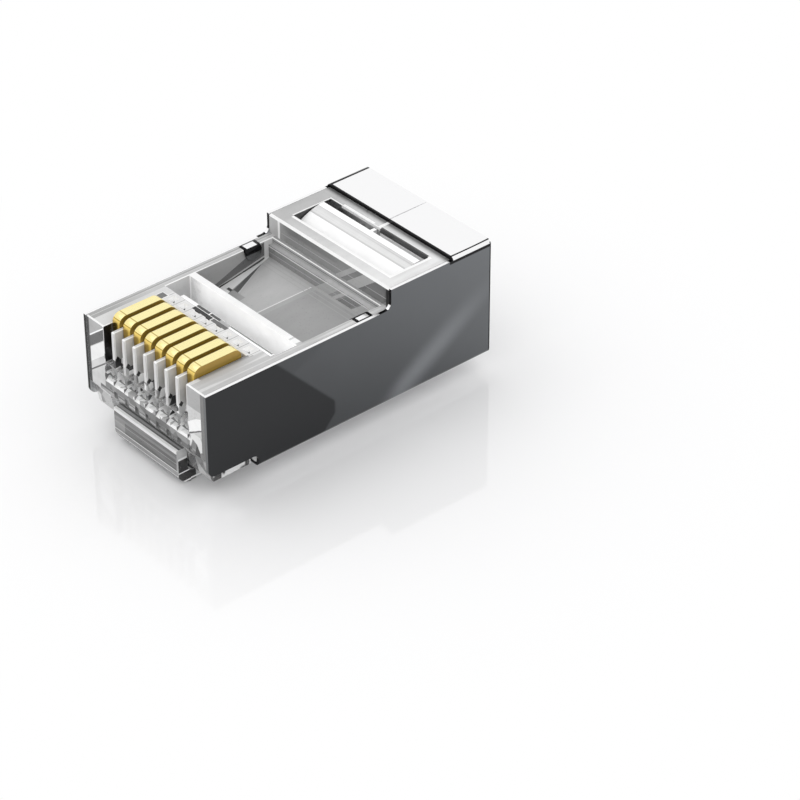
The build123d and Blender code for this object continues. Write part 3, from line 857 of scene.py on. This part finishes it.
class PlugLook(bpy.types.PropertyGroup):
    """Sizes and colours of the plug's finish; the sheet's and the gold's colours
    are painted light and shade.
    """

    edge: FloatProperty(
        name="Edge radius",
        description="Rounding of the moulded edges",
        default=0.00003,
        unit="LENGTH",
    )
    clear_tint: tint("Clear plastic", "Tint of the clear plastic", (0.97, 0.98, 0.99))
    # The sheet's colours are painted light and shade on one plated metal: white tops as painted highlight,
    # dark sides and cut edges as painted reflection, a painted sheen on the left plate, and pale inner faces
    # as painted light.
    sheet_top: tint("Sheet top", "Colour of the level faces of the sheet", (0.93, 0.93, 0.935))
    sheet_low: tint("Tongue", "Colour of the hook tabs' tongues", (0.16, 0.163, 0.167))
    sheet_left: tint("Sheet left", "Colour of the left side plate", (0.20, 0.204, 0.21))
    sheet_sheen: tint("Sheet sheen", "Left side plate where it shines", (0.40, 0.405, 0.41))
    sheet_inner: tint("Sheet inside", "Colour of the sheet's inner faces", (0.72, 0.73, 0.74))
    sheet_dark: tint("Sheet dark", "Dark field of the right side plate", (0.035, 0.036, 0.038))
    sheet_edge: tint("Sheet front", "Front edge of the right side plate", (0.17, 0.175, 0.18))
    sheet_cut: tint("Sheet edge", "Cut edges of the sheet", (0.012, 0.012, 0.013))
    # The gold's colours are painted light and shade on one gold: pale lit tops, a painted highlight band, and
    # darker ends and sides where shade falls.
    gold_top: tint("Gold top", "Colour of the contacts' tops", (1.0, 0.90, 0.46))
    gold_end: tint("Gold end", "Colour of the contacts' rounded ends", (0.86, 0.64, 0.19))
    gold_band: tint("Gold band", "Colour of the bright band round the contacts' ends", (0.98, 0.84, 0.38))
    gold_outer: tint("Gold outer", "Colour of the last contact's outer side", (0.52, 0.34, 0.085))
    gold_low: tint("Gold low", "Colour of the contacts' lower ends", (0.52, 0.35, 0.06))
    gold_side: tint("Gold side", "Colour of the contacts' sides", (0.42, 0.29, 0.055))
    floor_colour: tint("Floor", "Colour of the floor", (0.96, 0.96, 0.965))


def look():
    """The finish that the panel shows."""
    return bpy.context.scene.plug_look


# Operators.


class PLUG_OT_housing(bpy.types.Operator):
    """Clear moulded housing with rounded edges"""

    bl_idname = "plug.housing"
    bl_label = "Housing"

    def execute(self, context):
        piece = rounded_copy("plug_body", "housing", look().edge, clear_housing(look()))
        return {"FINISHED"}


class PLUG_OT_shield(bpy.types.Operator):
    """Folded sheet shield"""

    bl_idname = "plug.shield"
    bl_label = "Shield"

    def execute(self, context):
        piece = rounded_copy("shield", "folded_shield", look().edge * SHEET_ROUNDING, sheet_metal(look()))
        return {"FINISHED"}


class PLUG_OT_contacts(bpy.types.Operator):
    """Eight gold contacts"""

    bl_idname = "plug.contacts"
    bl_label = "Contacts"

    def execute(self, context):
        material = gold_plate(look())
        for node in CONTACTS:
            piece = rounded_copy(node, node.replace("contact", "gold_contact"), look().edge, material)
        return {"FINISHED"}


class PLUG_OT_latch(bpy.types.Operator):
    """Clear latch"""

    bl_idname = "plug.latch"
    bl_label = "Latch"

    def execute(self, context):
        piece = rounded_copy("latch_tab", "clear_latch", look().edge, clear_latch(look()))
        return {"FINISHED"}


class PLUG_OT_clamps(bpy.types.Operator):
    """Wire clamp bar and cable clamp bar"""

    bl_idname = "plug.clamps"
    bl_label = "Clamp bars"

    def execute(self, context):
        material = milky_bars(look())
        for node, name in (("wire_clamp_bar", "wire_bar"), ("cable_clamp_bar", "cable_bar")):
            rounded_copy(node, name, look().edge, material)
        return {"FINISHED"}


class PLUG_OT_stage(bpy.types.Operator):
    """Floor, soft light and camera"""

    bl_idname = "plug.stage"
    bl_label = "Stage"

    def execute(self, context):
        self.lay_floor()
        self.light(context)
        self.aim_camera(context)
        context.scene.view_settings.view_transform = "Standard"
        return {"FINISHED"}

    def lay_floor(self):
        """Adds the floor, which isn't part of the plug."""
        deselect()
        bpy.ops.mesh.primitive_plane_add(size=FLOOR_SIZE, location=(0, 0, 0))
        floor = bpy.context.object
        floor.name = "floor"
        floor.data.materials.append(pale_floor(look()))

    def light(self, context):
        """Adds an even white room and two soft lamps."""
        world = bpy.data.worlds.new("soft room")
        context.scene.world = world
        world.use_nodes = True
        background = world.node_tree.nodes["Background"]
        background.inputs["Color"].default_value = (*WHITE, 1)
        background.inputs["Strength"].default_value = 1.0
        for name, place, size, power in LAMPS:
            lamp = bpy.data.lights.new(name, "AREA")
            lamp.size = size
            lamp.energy = power
            shown = bpy.data.objects.new(name, lamp)
            context.scene.collection.objects.link(shown)
            shown.location = place
            shown.rotation_euler = (Vector(AIM) - Vector(place)).to_track_quat("-Z", "Y").to_euler()

    def aim_camera(self, context):
        """Sets the camera up from its turns: behind points from the plug to it."""
        turn, rise, roll = (math.radians(angle) for angle in CAMERA_TURNS)
        level = math.cos(rise)
        behind = Vector((math.sin(turn) * level, -math.cos(turn) * level, math.sin(rise)))
        right = Vector((0, 0, 1)).cross(behind).normalized()
        above = behind.cross(right)
        across = math.cos(roll) * right + math.sin(roll) * above
        up = math.cos(roll) * above - math.sin(roll) * right
        turned = Matrix((across, up, behind)).transposed()
        camera = bpy.data.cameras.new("camera")
        camera.lens = CAMERA_FOCAL
        camera.sensor_width = CAMERA_SENSOR
        camera.clip_start, camera.clip_end = CAMERA_CLIP
        shown = bpy.data.objects.new("camera", camera)
        context.scene.collection.objects.link(shown)
        shown.matrix_world = Matrix.Translation(CAMERA_PLACE) @ turned.to_4x4()
        context.scene.camera = shown


class PLUG_PT_panel(bpy.types.Panel):
    """Lists the pieces and their finish"""

    bl_idname = "PLUG_PT_panel"
    bl_label = "Modular plug"
    bl_space_type = "VIEW_3D"
    bl_region_type = "UI"
    bl_category = "Plug"

    def draw(self, context):
        for name in PlugLook.__annotations__:
            self.layout.prop(context.scene.plug_look, name)
        for operator in OPERATORS:
            self.layout.operator(operator.bl_idname)


OPERATORS = (
    PLUG_OT_stage,
    PLUG_OT_housing,
    PLUG_OT_shield,
    PLUG_OT_contacts,
    PLUG_OT_latch,
    PLUG_OT_clamps,
)
CLASSES = (PlugLook, *OPERATORS, PLUG_PT_panel)


def register():
    for item in CLASSES:
        bpy.utils.register_class(item)
    bpy.types.Scene.plug_look = PointerProperty(type=PlugLook)


def unregister():
    del bpy.types.Scene.plug_look
    for item in reversed(CLASSES):
        bpy.utils.unregister_class(item)


def main():
    """Registers the classes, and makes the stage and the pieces."""
    register()
    for operator in OPERATORS:
        group, name = operator.bl_idname.split(".")
        getattr(getattr(bpy.ops, group), name)()


if __name__ == "__main__":
    main()
